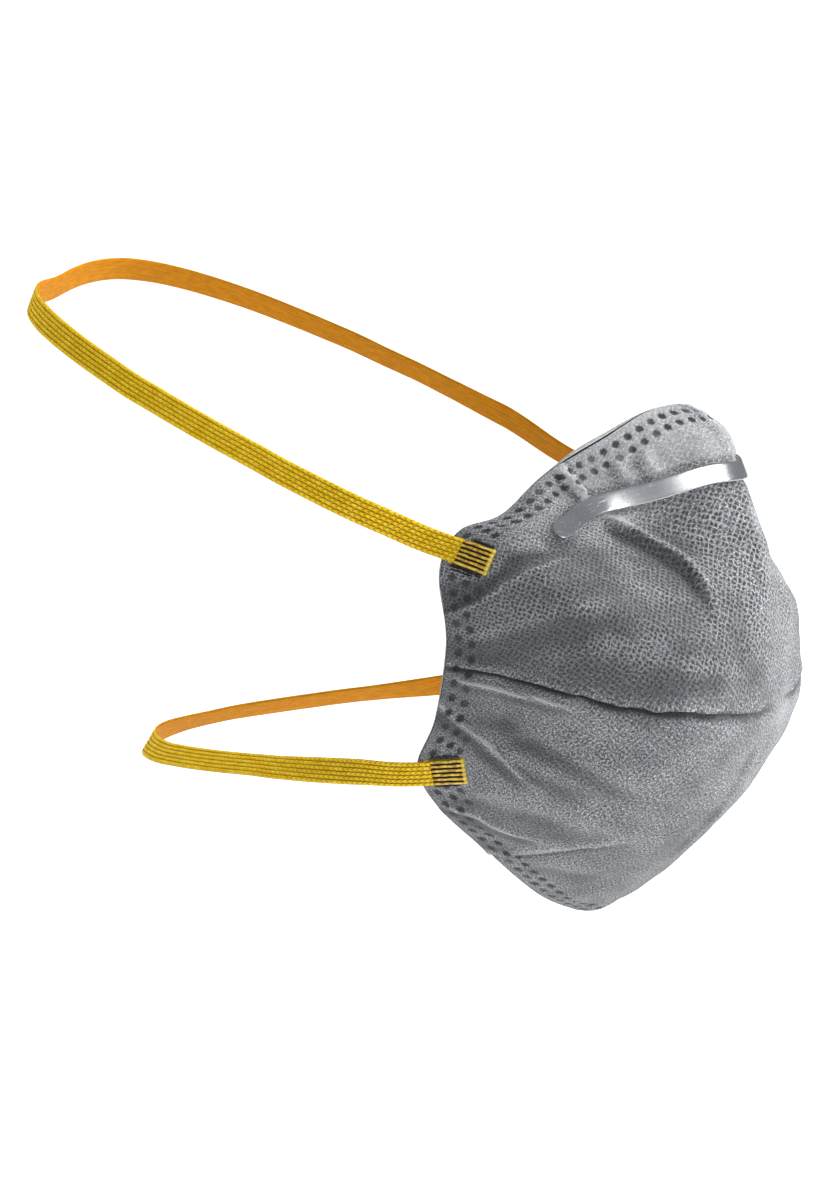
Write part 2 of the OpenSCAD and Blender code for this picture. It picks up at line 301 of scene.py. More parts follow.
def smooth_noise(x, y, size, seed):
    """Soft random hills, about one every two sizes."""
    heights = np.random.default_rng(seed).uniform(-1, 1, (64, 64))
    x, y = x / size + 32, y / size + 32
    i, j = np.floor(x).astype(int), np.floor(y).astype(int)
    s, t = ease(0, 1, x - i), ease(0, 1, y - j)
    h = heights[i % 64, j % 64] * (1 - s) + heights[(i + 1) % 64, j % 64] * s
    k = heights[i % 64, (j + 1) % 64] * (1 - s) + heights[(i + 1) % 64, (j + 1) % 64] * s
    return h * (1 - t) + k * t


# ---------------------------------------------------------------- mesh making


def alone(piece):
    """Selects one piece, and nothing else."""
    bpy.ops.object.select_all(action="DESELECT")
    piece.select_set(True)
    bpy.context.view_layer.objects.active = piece


def grid(name, columns, rows):
    """A flat grid from -1 to 1 both ways, which a piece is then shaped from."""
    bpy.ops.object.select_all(action="DESELECT")
    bpy.ops.mesh.primitive_grid_add(x_subdivisions=columns, y_subdivisions=rows, size=2)
    piece = bpy.context.object
    piece.name = piece.data.name = name
    places = np.empty(3 * len(piece.data.vertices), np.float32)
    piece.data.vertices.foreach_get("co", places)
    places = places.reshape(-1, 3).astype(float)
    return piece, places[:, 0], places[:, 1]


def put(piece, points):
    """Moves a piece's vertices to points, in millimetres."""
    piece.data.vertices.foreach_set("co", (points * MM).astype(np.float32).ravel())
    piece.data.update()


def normals(piece):
    """Outward direction at each vertex."""
    found = np.empty(3 * len(piece.data.vertices), np.float32)
    piece.data.vertex_normals.foreach_get("vector", found)
    return found.reshape(-1, 3).astype(float)


def paint(piece, name, values):
    """Keeps a value at each vertex, for the materials."""
    layer = piece.data.attributes.new(name, "FLOAT", "POINT")
    layer.data.foreach_set("value", values.astype(np.float32))


def lay_map(piece, name, across, up, wrap=0):
    """Gives a piece a UV map from two values at each vertex, the first one wrapping round."""
    layer = piece.data.uv_layers.get(name) or piece.data.uv_layers.new(name=name)
    corner = np.empty(len(piece.data.loops), np.int32)
    piece.data.loops.foreach_get("vertex_index", corner)
    u = across[corner].reshape(-1, 4)
    if wrap:
        torn = np.ptp(u, axis=1) > wrap / 2
        u[torn] = np.where(u[torn] < wrap / 2, u[torn] + wrap, u[torn])
    layer.data.foreach_set("uv", np.stack([u.ravel(), up[corner]], 1).astype(np.float32).ravel())


def coat(piece, finish):
    """Gives a piece one material."""
    piece.data.materials.clear()
    piece.data.materials.append(finish)


def weigh(piece, name, weights, levels=24):
    """A vertex group, with its weights in steps."""
    group = piece.vertex_groups.new(name=name)
    nearest = np.round(weights * levels).astype(int)
    for k in range(levels + 1):
        group.add(np.flatnonzero(nearest == k).tolist(), k / levels, "REPLACE")


def modify(piece, kind, **settings):
    """Adds a modifier and applies it."""
    alone(piece)
    bpy.ops.object.modifier_add(type=kind)
    made = piece.modifiers[-1]
    for key, value in settings.items():
        setattr(made, key, value)
    bpy.ops.object.modifier_apply(modifier=made.name)


def close(piece):
    """Merges a tube's seam, closes its ends and turns its faces outwards."""
    alone(piece)
    bpy.ops.object.mode_set(mode="EDIT")
    bpy.ops.mesh.select_all(action="SELECT")
    bpy.ops.mesh.remove_doubles(threshold=0.01 * MM)
    bpy.ops.mesh.fill_holes(sides=0)
    bpy.ops.mesh.normals_make_consistent(inside=False)
    bpy.ops.object.mode_set(mode="OBJECT")


def smooth(piece, angle):
    """Shades a piece smooth except at edges sharper than an angle in degrees."""
    alone(piece)
    bpy.ops.object.shade_smooth_by_angle(angle=math.radians(angle))


# ---------------------------------------------------------------- material making


def feed(tree, sockets, values):
    """Links or sets each named or numbered socket."""
    for key, value in values.items():
        if isinstance(value, bpy.types.NodeSocket):
            tree.links.new(value, sockets[key])
        else:
            sockets[key].default_value = value


def node(tree, kind, inputs=None, **settings):
    """A new node with its settings made and its inputs fed."""
    made = tree.nodes.new("ShaderNode" + kind)
    for key, value in settings.items():
        setattr(made, key, value)
    feed(tree, made.inputs, inputs or {})
    return made


def calc(tree, operation, a, b=0.0, c=0.0):
    """Result of one sum."""
    made = node(tree, "Math", {0: a, 1: b, 2: c}, operation=operation)
    return made.outputs[0]


def step(tree, x, low, high):
    """0 below low and 1 above high, smoothly between."""
    made = node(tree, "MapRange", {"Value": x, "From Min": low, "From Max": high},
                interpolation_type="SMOOTHSTEP")
    return made.outputs["Result"]


COLOUR_A, COLOUR_B, COLOUR_OUT = 6, 7, 2     # a Mix node's colour sockets, by number


def blend(tree, share, a, b):
    """One colour going over into another."""
    a, b = ((*colour, 1) if isinstance(colour, tuple) else colour for colour in (a, b))
    made = node(tree, "Mix", data_type="RGBA")
    feed(tree, made.inputs, {0: share, COLOUR_A: a, COLOUR_B: b})
    return made.outputs[COLOUR_OUT]


def noise(tree, vector, scale, detail=2.0, rough=0.5, stretch=None):
    """Noise value, over a place that may be stretched first."""
    if stretch:
        vector = node(tree, "Mapping", {"Vector": vector, "Scale": stretch}).outputs[0]
    return node(tree, "TexNoise", {"Vector": vector, "Scale": scale, "Detail": detail,
                                   "Roughness": rough}).outputs["Fac"]


def group(name, inputs, outputs):
    """An empty node group with named value inputs and outputs."""
    tree = bpy.data.node_groups.new(name, "ShaderNodeTree")
    for label, start in inputs.items():
        kind = "NodeSocketVector" if start is None else "NodeSocketFloat"
        socket = tree.interface.new_socket(label, in_out="INPUT", socket_type=kind)
        if start is not None:
            socket.default_value = start
    for label in outputs:
        tree.interface.new_socket(label, in_out="OUTPUT", socket_type="NodeSocketFloat")
    return tree, tree.nodes.new("NodeGroupInput").outputs, tree.nodes.new("NodeGroupOutput").inputs


def use(tree, made, inputs):
    """Outputs of a node group placed in a tree."""
    placed = tree.nodes.new("ShaderNodeGroup")
    placed.node_tree = made
    feed(tree, placed.inputs, inputs)
    return placed.outputs


def finish_of(name, **sockets):
    """A new material, its node tree and its shader, with the given plain settings."""
    made = bpy.data.materials.new(name)
    made.use_nodes = True
    tree = made.node_tree
    shader = tree.nodes["Principled BSDF"]
    for key, value in sockets.items():
        shader.inputs[key.replace("_", " ")].default_value = value
    return made, tree, shader


def wire(tree, shader, **sockets):
    """Links values to a shader's inputs."""
    for key, value in sockets.items():
        tree.links.new(value, shader.inputs[key.replace("_", " ")])


def bump(tree, height, depth, strength=1.0):
    """Normal of a surface whose height goes from 0 to depth, in millimetres."""
    return node(tree, "Bump", {"Height": height, "Distance": depth * MM, "Strength": strength}
                ).outputs["Normal"]


def uv(tree, name):
    """One of the piece's UV maps."""
    return node(tree, "UVMap", uv_map=name).outputs["UV"]


def painted(tree, name):
    """A value kept at the piece's vertices."""
    return node(tree, "Attribute", attribute_name=name).outputs["Fac"]


def object_mm(tree):
    """Object coordinates in millimetres."""
    place = node(tree, "TexCoord").outputs["Object"]
    return node(tree, "VectorMath", {0: place, "Scale": 1 / MM}, operation="SCALE").outputs[0]


def nonwoven():
    """Spot-bonded web: a staggered net of small pressed dots, with loose fibres between them."""
    tree, given, out = group("nonwoven", {"Flat": None, "Pitch": 1.7, "Clear": 1.0},
                             ("Dots", "Net", "Fibre", "Mottle", "Height"))
    flat, clear = given["Flat"], given["Clear"]
    shaken = node(tree, "TexNoise", {"Vector": flat, "Scale": 0.35, "Detail": 2.0}).outputs["Color"]
    shaken = node(tree, "VectorMath", {0: shaken, 1: (0.5, 0.5, 0.5)}, operation="SUBTRACT").outputs[0]
    shaken = node(tree, "VectorMath", {0: shaken, "Scale": 1.6}, operation="SCALE").outputs[0]
    moved = node(tree, "VectorMath", {0: flat, 1: shaken}, operation="ADD").outputs[0]
    turned = node(tree, "Mapping", {"Vector": moved, "Rotation": (0, 0, math.radians(43))}).outputs[0]
    scale = calc(tree, "DIVIDE", 1.0, given["Pitch"])
    near = node(tree, "TexVoronoi", {"Vector": turned, "Scale": scale, "Randomness": 0.42},
                voronoi_dimensions="2D", feature="F1").outputs["Distance"]
    rim = node(tree, "TexVoronoi", {"Vector": turned, "Scale": scale, "Randomness": 0.42},
               voronoi_dimensions="2D", feature="DISTANCE_TO_EDGE").outputs["Distance"]
    grain = noise(tree, flat, 2.4, 3.0, 0.7)
    streak_a = noise(tree, turned, 0.8, 3.0, 0.7, (1.0, 4.0, 1.0))
    streak_b = noise(tree, turned, 0.8, 3.0, 0.7, (4.0, 1.0, 1.0))
    fibre = calc(tree, "MAXIMUM", step(tree, streak_a, 0.5, 0.72), step(tree, streak_b, 0.5, 0.72))
    ragged = calc(tree, "MULTIPLY_ADD", grain, 0.7, calc(tree, "SUBTRACT", near, 0.35))
    dots = calc(tree, "SUBTRACT", 1.0, step(tree, ragged, 0.22, 0.38))
    torn = calc(tree, "MULTIPLY_ADD", grain, 0.3, calc(tree, "SUBTRACT", rim, 0.15))
    web = calc(tree, "SUBTRACT", 1.0, step(tree, torn, 0.0, 0.14))
    mottle = noise(tree, flat, 0.16, 3.0, 0.6)
    patchy = step(tree, noise(tree, flat, 0.28, 2.0, 0.5), 0.3, 0.62)
    seen = calc(tree, "MULTIPLY", clear, calc(tree, "MULTIPLY_ADD", patchy, 0.5, 0.5))
    dots = calc(tree, "MULTIPLY", dots, seen)
    net_seen = calc(tree, "MULTIPLY", web, seen)
    strands = calc(tree, "MULTIPLY_ADD", fibre, 0.55, calc(tree, "MULTIPLY", grain, 0.45))
    height = calc(tree, "MULTIPLY_ADD", net_seen, 0.35, strands)
    height = calc(tree, "SUBTRACT", height, calc(tree, "MULTIPLY", dots, 0.9))
    feed(tree, out, {"Dots": dots, "Net": net_seen, "Fibre": strands, "Mottle": mottle,
                     "Height": height})
    return tree


def fine_grain():
    """Small even roughness of foam, tape and glue."""
    tree, given, out = group("fine_grain", {"Place": None, "Size": 1.0}, ("Grain", "Pores", "Height"))
    scale = calc(tree, "DIVIDE", 1.0, given["Size"])
    grain = noise(tree, given["Place"], scale, 4.0, 0.6)
    cells = node(tree, "TexVoronoi", {"Vector": given["Place"], "Scale": scale}).outputs["Distance"]
    pores = calc(tree, "SUBTRACT", 1.0, step(tree, cells, 0.1, 0.45))
    height = calc(tree, "SUBTRACT", grain, pores)
    feed(tree, out, {"Grain": grain, "Pores": pores, "Height": height})
    return tree


def braid():
    """Braided elastic: lengthwise ribs of slanting stitches. The map gives millimetres along
    and the share across, from 0 to 1 on the outer face and 1 to 2 on the inner one."""
    tree, given, out = group("braid", {"Lay": None, "Ribs": 6.0, "Stitch": 1.5},
                             ("Gap", "Seam", "Shade", "Inside", "Height"))
    parts = node(tree, "SeparateXYZ", {"Vector": given["Lay"]}).outputs
    along, over = parts["X"], parts["Y"]
    inside = step(tree, over, 0.985, 1.015)
    rib = calc(tree, "FRACT", calc(tree, "MULTIPLY", over, given["Ribs"]))
    off = calc(tree, "ABSOLUTE", calc(tree, "SUBTRACT", rib, 0.5))
    number = calc(tree, "FLOOR", calc(tree, "MULTIPLY", over, given["Ribs"]))
    wander = calc(tree, "MULTIPLY", noise(tree, given["Lay"], 0.7, 2.0), 0.5)
    run = calc(tree, "ADD", calc(tree, "DIVIDE", along, given["Stitch"]), wander)
    run = calc(tree, "ADD", run, calc(tree, "MULTIPLY", number, 0.37))
    slant = calc(tree, "FRACT", calc(tree, "ADD", run, calc(tree, "MULTIPLY", off, 1.3)))
    notch = calc(tree, "ABSOLUTE", calc(tree, "SUBTRACT", slant, 0.5))
    gap = step(tree, notch, 0.33, 0.48)
    seam = step(tree, off, 0.3, 0.47)
    shade = noise(tree, given["Lay"], 0.9, 3.0, 0.6, (0.35, 6.0, 1.0))
    height = calc(tree, "SUBTRACT", 1.0, calc(tree, "MULTIPLY", gap, 0.5))
    height = calc(tree, "SUBTRACT", height, calc(tree, "MULTIPLY", seam, 0.8))
    feed(tree, out, {"Gap": gap, "Seam": seam, "Shade": shade, "Inside": inside, "Height": height})
    return tree


DOT_ROWS = (2.8, 6.0, 9.0)    # distances of the weld dots' rows from the edge
DOT_PITCH = RIM / 120


def weld_dots_marks():
    """Rows of ragged weld dots along the edge. The third row shows only where asked for."""
    tree, given, out = group("weld_dots", {"Flat": None, "Rim": None, "Third": 0.0}, ("Spots",))
    parts = node(tree, "SeparateXYZ", {"Vector": given["Rim"]}).outputs
    ragged = calc(tree, "MULTIPLY_ADD", noise(tree, given["Flat"], 1.3, 3.0, 0.6), 1.2, -0.6)
    strength = step(tree, noise(tree, given["Flat"], 0.12, 2.0), 0.3, 0.55)
    welds = None
    for row, distance in enumerate(DOT_ROWS):
        turns = calc(tree, "ADD", calc(tree, "DIVIDE", parts["X"], DOT_PITCH), 0.35 * row)
        x = calc(tree, "MULTIPLY", calc(tree, "SUBTRACT", calc(tree, "FRACT", turns), 0.5), DOT_PITCH)
        y = calc(tree, "SUBTRACT", parts["Y"], distance)
        far = calc(tree, "POWER", calc(tree, "ADD", calc(tree, "MULTIPLY", x, x),
                                       calc(tree, "MULTIPLY", y, y)), 0.5)
        spot = calc(tree, "SUBTRACT", 1.0, step(tree, calc(tree, "ADD", far, ragged), 0.65, 1.25))
        if row == 2:
            spot = calc(tree, "MULTIPLY", spot, given["Third"])
        welds = spot if welds is None else calc(tree, "MAXIMUM", welds, spot)
    welds = calc(tree, "MULTIPLY", welds, calc(tree, "MULTIPLY_ADD", strength, 0.35, 0.62))
    feed(tree, out, {"Spots": welds})
    return tree


# ---------------------------------------------------------------- finishes

NONWOVEN = nonwoven()
FINE_GRAIN = fine_grain()
BRAID = braid()
WELD_DOTS = weld_dots_marks()


def cover_finish():
    """Grey nonwoven cover: dark bonded dots under light fibres, dark weld dots at the edge, and painted
    light and shade over its folds.
    """
    made, tree, shader = finish_of("cover_web", Roughness=0.92, Sheen_Weight=0.25,
                                   Sheen_Roughness=0.6, Specular_IOR_Level=0.2)
    flat = uv(tree, "flat")
    web = use(tree, NONWOVEN, {"Flat": flat, "Pitch": 1.45, "Clear": painted(tree, "clear")})
    edge = {"Flat": flat, "Rim": uv(tree, "rim"), "Third": painted(tree, "tab")}
    welds = use(tree, WELD_DOTS, edge)["Spots"]
    body = blend(tree, step(tree, web["Mottle"], 0.3, 0.7), (0.16, 0.168, 0.185), (0.27, 0.282, 0.30))
    speckle = step(tree, noise(tree, flat, 1.5, 3.0, 0.8), 0.43, 0.58)
    body = blend(tree, speckle, (0.035, 0.038, 0.045), body)
    fibres = step(tree, noise(tree, flat, 1.9, 2.0, 0.7), 0.51, 0.60)
    body = blend(tree, calc(tree, "MULTIPLY", fibres, 0.72), body, (0.84, 0.86, 0.88))
    body = blend(tree, calc(tree, "MULTIPLY", step(tree, web["Fibre"], 0.35, 0.8), 0.6), body,
                 (0.74, 0.76, 0.78))
    body = blend(tree, calc(tree, "MULTIPLY", web["Net"], 0.6), body, (0.76, 0.78, 0.80))
    body = blend(tree, calc(tree, "MULTIPLY", web["Dots"], 0.92), body, (0.03, 0.032, 0.04))
    # painted light and shade: lit places go towards pale grey, shaded ones towards near black
    light = painted(tree, "light")
    body = blend(tree, calc(tree, "MULTIPLY", step(tree, light, 0.0, 1.0), 0.6), body, (0.72, 0.74, 0.76))
    shade = calc(tree, "MULTIPLY", step(tree, calc(tree, "MULTIPLY", light, -1.0), 0.0, 0.9), 0.72)
    body = blend(tree, shade, body, (0.03, 0.032, 0.04))
    body = blend(tree, welds, body, (0.016, 0.017, 0.022))
    # painted shade in the main fold's gap, near black
    body = blend(tree, calc(tree, "MULTIPLY", painted(tree, "crease"), 0.95), body, (0.003, 0.003, 0.004))
    wire(tree, shader, Base_Color=body, Normal=bump(tree, web["Height"], 0.35))
    return made


def web_finish(name, dark, light, pitch, clear, depth=0.2, welded=0.0):
    """Plain nonwoven web of one colour, with faint bonded dots and shiny weld dots."""
    made, tree, shader = finish_of(name, Roughness=0.9, Sheen_Weight=0.2, Specular_IOR_Level=0.2)
    web = use(tree, NONWOVEN, {"Flat": uv(tree, "flat"), "Pitch": pitch, "Clear": clear})
    body = blend(tree, step(tree, web["Fibre"], 0.2, 0.9), dark, light)
    body = blend(tree, calc(tree, "MULTIPLY", web["Dots"], 0.35), body, dark)
    welds = use(tree, WELD_DOTS, {"Flat": uv(tree, "flat"), "Rim": uv(tree, "rim")})["Spots"]
    pressed = tuple(0.42 * share for share in dark)
    body = blend(tree, calc(tree, "MULTIPLY", welds, welded), body, pressed)
    rough = calc(tree, "MULTIPLY_ADD", welds, -0.45 * welded, 0.9)
    wire(tree, shader, Base_Color=body, Roughness=rough, Normal=bump(tree, web["Height"], depth))
    return made


def elastic_finish():
    """Braided elastic: bright yellow outer face with painted shade in its seams and stitch gaps, and a
    smooth inner face painted a darker orange as painted shade.
    """
    made, tree, shader = finish_of("strap_elastic", Roughness=0.62, Specular_IOR_Level=0.15)
    lay = uv(tree, "lay")
    weave = use(tree, BRAID, {"Lay": lay, "Ribs": 6.0, "Stitch": 1.5})
    yellow = blend(tree, step(tree, weave["Shade"], 0.3, 0.75), (0.80, 0.49, 0.006), (0.98, 0.70, 0.04))
    # painted shade in the seams between the ribs
    yellow = blend(tree, calc(tree, "MULTIPLY", weave["Seam"], 0.62), yellow, (0.38, 0.17, 0.002))
    # painted shade in the gaps between stitches, stronger near the mask
    hole_shade = calc(tree, "MULTIPLY_ADD", painted(tree, "open"), 0.7, 0.06)
    stitches = calc(tree, "MULTIPLY", weave["Gap"], hole_shade)
    yellow = blend(tree, stitches, yellow, (0.16, 0.07, 0.004))
    # painted shade: the inner face in darker orange
    inner_shaded = blend(tree, step(tree, weave["Shade"], 0.3, 0.75), (0.50, 0.185, 0.001), (0.62, 0.235, 0.002))
    body = blend(tree, weave["Inside"], yellow, inner_shaded)
    relief = calc(tree, "MULTIPLY", weave["Height"], calc(tree, "MULTIPLY_ADD", weave["Inside"], -0.75, 1.0))
    wire(tree, shader, Base_Color=body, Normal=bump(tree, relief, 0.22))
    return made


def melted_finish():
    """Welded strap end: dark pressed grooves between glossy yellow ribs."""
    made, tree, shader = finish_of("strap_weld", Roughness=0.34, Coat_Weight=0.3,
                                   Coat_Roughness=0.25)
    lay = uv(tree, "lay")
    place = object_mm(tree)
    weave = use(tree, BRAID, {"Lay": lay, "Ribs": 6.0, "Stitch": 1.3})
    flecks = noise(tree, lay, 1.6, 3.0, 0.6, (0.35, 9.0, 1.0))
    low = calc(tree, "SUBTRACT", 1.0, painted(tree, "rib"))
    melt = step(tree, calc(tree, "ADD", low, calc(tree, "MULTIPLY_ADD", flecks, 0.9, -0.45)), 0.12, 0.42)
    rib = blend(tree, step(tree, noise(tree, place, 0.9, 3.0), 0.35, 0.65),
                (0.42, 0.20, 0.012), (0.80, 0.58, 0.05))
    body = blend(tree, melt, rib, (0.022, 0.014, 0.006))
    body = blend(tree, painted(tree, "lip"), body, (0.86, 0.62, 0.05))
    body = blend(tree, painted(tree, "flash"), body, (0.008, 0.008, 0.010))
    wire(tree, shader, Base_Color=body, Normal=bump(tree, weave["Height"], 0.08))
    return made


def metal_finish():
    """Thin rolled aluminium, with fine lengthwise rolling lines, small dents and scratches."""
    made, tree, shader = finish_of("clip_metal", Metallic=1.0)
    lay = uv(tree, "lay")
    rolled = noise(tree, lay, 1.0, 4.0, 0.6, (0.06, 9.0, 1.0))
    wide = noise(tree, lay, 0.12, 3.0, 0.5)
    marks = None
    for angle, reach in ((24, 0.35), (-17, 0.28), (61, 0.5)):
        turned = node(tree, "Mapping", {"Vector": lay, "Rotation": (0, 0, math.radians(angle)),
                                        "Scale": (reach, 6.0, 1.0)}).outputs[0]
        streak = step(tree, noise(tree, turned, 0.9, 2.0, 0.4), 0.70, 0.76)
        marks = streak if marks is None else calc(tree, "MAXIMUM", marks, streak)
    body = blend(tree, step(tree, wide, 0.3, 0.7), (0.62, 0.63, 0.65), (0.74, 0.75, 0.77))
    body = blend(tree, calc(tree, "MULTIPLY", marks, 0.5), body, (0.93, 0.94, 0.95))
    rough = calc(tree, "MULTIPLY_ADD", rolled, 0.16, 0.16)
    rough = calc(tree, "MULTIPLY_ADD", marks, 0.16, rough)
    height = calc(tree, "SUBTRACT", calc(tree, "MULTIPLY", rolled, 0.5), marks)
    wire(tree, shader, Base_Color=body, Roughness=rough, Normal=bump(tree, height, 0.03, 0.6))
    return made


def grain_finish(name, dark, light, size, depth, **sockets):
    """Foam, tape and glue."""
    made, tree, shader = finish_of(name, **sockets)
    grain = use(tree, FINE_GRAIN, {"Place": object_mm(tree), "Size": size})
    body = blend(tree, step(tree, grain["Grain"], 0.35, 0.65), dark, light)
    body = blend(tree, calc(tree, "MULTIPLY", grain["Pores"], 0.5), body, dark)
    wire(tree, shader, Base_Color=body, Normal=bump(tree, grain["Height"], depth))
    return made


COVER = cover_finish()
CARBON = web_finish("carbon_web", (0.006, 0.006, 0.007), (0.03, 0.03, 0.032), 1.2, 0.3)
FILTER = web_finish("filter_web", (0.75, 0.75, 0.74), (0.90, 0.90, 0.89), 1.1, 0.2)
SUPPORT = web_finish("support_web", (0.62, 0.62, 0.61), (0.84, 0.84, 0.83), 1.4, 0.5)
LINER = web_finish("liner_web", (0.58, 0.58, 0.58), (0.92, 0.92, 0.92), 1.45, 0.8, 0.35, 0.8)
ELASTIC = elastic_finish()
MELTED = melted_finish()
METAL = metal_finish()
FOAM = grain_finish("nose_foam", (0.012, 0.012, 0.014), (0.045, 0.045, 0.05), 0.7, 0.35, Roughness=0.95)
GLUE = grain_finish("clip_glue", (0.55, 0.50, 0.38), (0.72, 0.68, 0.56), 1.5, 0.1, Roughness=0.3)
TAPE = grain_finish("foam_tape", (0.60, 0.57, 0.48), (0.74, 0.71, 0.63), 0.6, 0.05, Roughness=0.5)

# ---------------------------------------------------------------- webs


def square_round(a, b):
    """Share of the way round a square's edge from the top middle, towards +X."""
    m = np.maximum(np.maximum(np.abs(a), np.abs(b)), 1e-9)
    sides = [b >= np.abs(a), a > np.abs(b), b <= -np.abs(a)]
    turn = np.select(sides, [a / m, 2 - b / m, 4 - a / m], 6 + b / m)
    return (turn / 8) % 1, np.maximum(np.abs(a), np.abs(b))


CROWD = 0.35                  # how much closer the rings are at the edge than on average
SPREAD = 0.15                 # how much wider the bonded net lies towards the edge
LEFT_SAG = 2.4                # how much lower the nose peak is on the wearer's left


def ring_share(m):
    """Share of the way from the front to the edge at ring m."""
    return m * (1 + CROWD * (1 - m))


main_line = fold_curve(MAIN_FOLD)
fold_out = np.hypot(main_line[:, 0], main_line[:, 1])
fold_bearing = np.arctan2(main_line[:, 0], main_line[:, 1]) % (2 * math.pi)
FOLD_IN = 16                  # flat radius inside which the grid no longer follows the main fold
FOLD_GUESS = 92               # first guess of the flat radius of the edge there


def follow_fold(a, b):
    """Shifts a grid's middle row on both sides so that it lies along the main fold."""
    m = np.abs(a)
    sides = (m > np.abs(b)) & (m > 0)
    radius = np.maximum(FOLD_GUESS * ring_share(m), FOLD_IN)
    order = np.argsort(fold_out)
    at = np.interp(radius, fold_out[order], fold_bearing[order])
    for _ in range(2):
        u = np.interp(at, bearing, NET_U)
        whole = np.interp(u, NET_U, wall)
        radius = np.maximum(flat_radius(whole * ring_share(m), whole), FOLD_IN)
        at = np.interp(radius, fold_out[order], fold_bearing[order])
    round_share = np.interp(np.interp(at, bearing, NET_U), NET_U, rim_run) / RIM
    wanted = (8 * round_share - 6) * m
    share = b / np.maximum(m, 1e-9)
    keep = 1 - share**2
    crowd = b * (1 - 0.55 * np.exp(-(share / 0.06)**2))
    return np.where(sides, crowd + wanted * keep, b)


def far_folds():
    """Folds of the wearer's left side, mirrored from the right one's."""
    for (points, height, width, kind), (x, y) in zip(FOLDS, FAR_SHIFT):
        moved = [(-p + x * k / (len(points) - 1), q + y) for k, (p, q) in enumerate(points)]
        yield moved, height * FAR_HEIGHT, width, kind + " turned"


def folds_over(across, up):
    """Height of the cover's folds, their painted light and shade, the painted shade in the main
    fold's gap, and how far its lip hangs down."""
    height, light = np.zeros(len(across)), np.zeros(len(across))
    for points, tall, width, kind in FOLDS + list(far_folds()):
        low, high = np.min(points, axis=0) - FOLD_SPAN, np.max(points, axis=0) + FOLD_SPAN
        box = (across > low[0]) & (across < high[0]) & (up > low[1]) & (up < high[1])
        left, reach, beyond = beside(across[box], up[box], fold_curve(points))
        left = left + 0.5 * smooth_noise(across[box], up[box], 5, 41)
        if "turned" in kind:
            left = -left
        fade = ease(-0.02, 0.12, reach) * (1 - ease(0.65, 1.0, reach)) * np.exp(-(beyond / 2)**2)
        raised, lit = profile(kind.split()[0], left, width)
        height[box] += tall * fade * raised
        light[box] += FOLD_LIGHT * fade * lit
    gap, hang = np.zeros(len(across)), np.zeros(len(across))
    for side in (-1, 1):
        line = main_line * (-side, 1)
        box = (across * side >= 0) & (np.abs(up - 8) < 30)
        left, reach, beyond = beside(across[box], up[box], line)
        left = left * -side + 0.45 * smooth_noise(across[box], up[box], 4, 43)
        # patchy strength of the painted highlight on the main fold's lip
        torn = ease(-0.1, 0.6, smooth_noise(across[box] + 7, 0 * across[box], 3.4, 47))
        raised, lit, dark, down = crevice(left, torn)
        fade = ease(-0.01, 0.05, reach) * np.exp(-(beyond / 2)**2) * (1 - ease(0.9, 1.0, reach))
        strong = 0.3 + 0.7 * ease(0, 0.2, reach) * (1 - 0.7 * ease(0.5, 0.9, reach))
        height[box] += raised * fade * strong * (1.1 if side < 0 else FAR_HEIGHT)
        light[box] += lit * fade * (0.4 + 0.6 * strong)
        # painted shade in the main fold's gap
        gap[box] = np.maximum(gap[box], dark * fade * (0.6 + 0.4 * strong))
        hang[box] = np.maximum(hang[box], down * fade * strong)
    return height, light, gap, hang


WELDS = [(UPPER_WELD, 1), (UPPER_WELD, -1), (LOWER_WELD, 1), (LOWER_WELD, -1)]


def forward(u, far):
    """t of the place that lies a distance forward of the edge."""
    t = 0.5 * np.linspace(0, 1, 401)**3
    drop = cup_at(u, 0.0)[..., 1] - cup_at(np.full_like(t, u), t)[:, 1]
    return float(np.interp(far, drop, t))


def weld_line(weld, shares):
    """Middle line of a weld on the left side, and the outward normals along it."""
    u = weld[0] + weld[2] * np.asarray(shares, float)
    t = np.array([forward(a, weld[1] + WELD_L * s) for a, s in zip(u, shares)])
    return cup_at(u, t), cup_normal(u, t)


weld_middles = [weld_line(weld, [0.5])[0][0] * (side, 1, 1) for weld, side in WELDS]


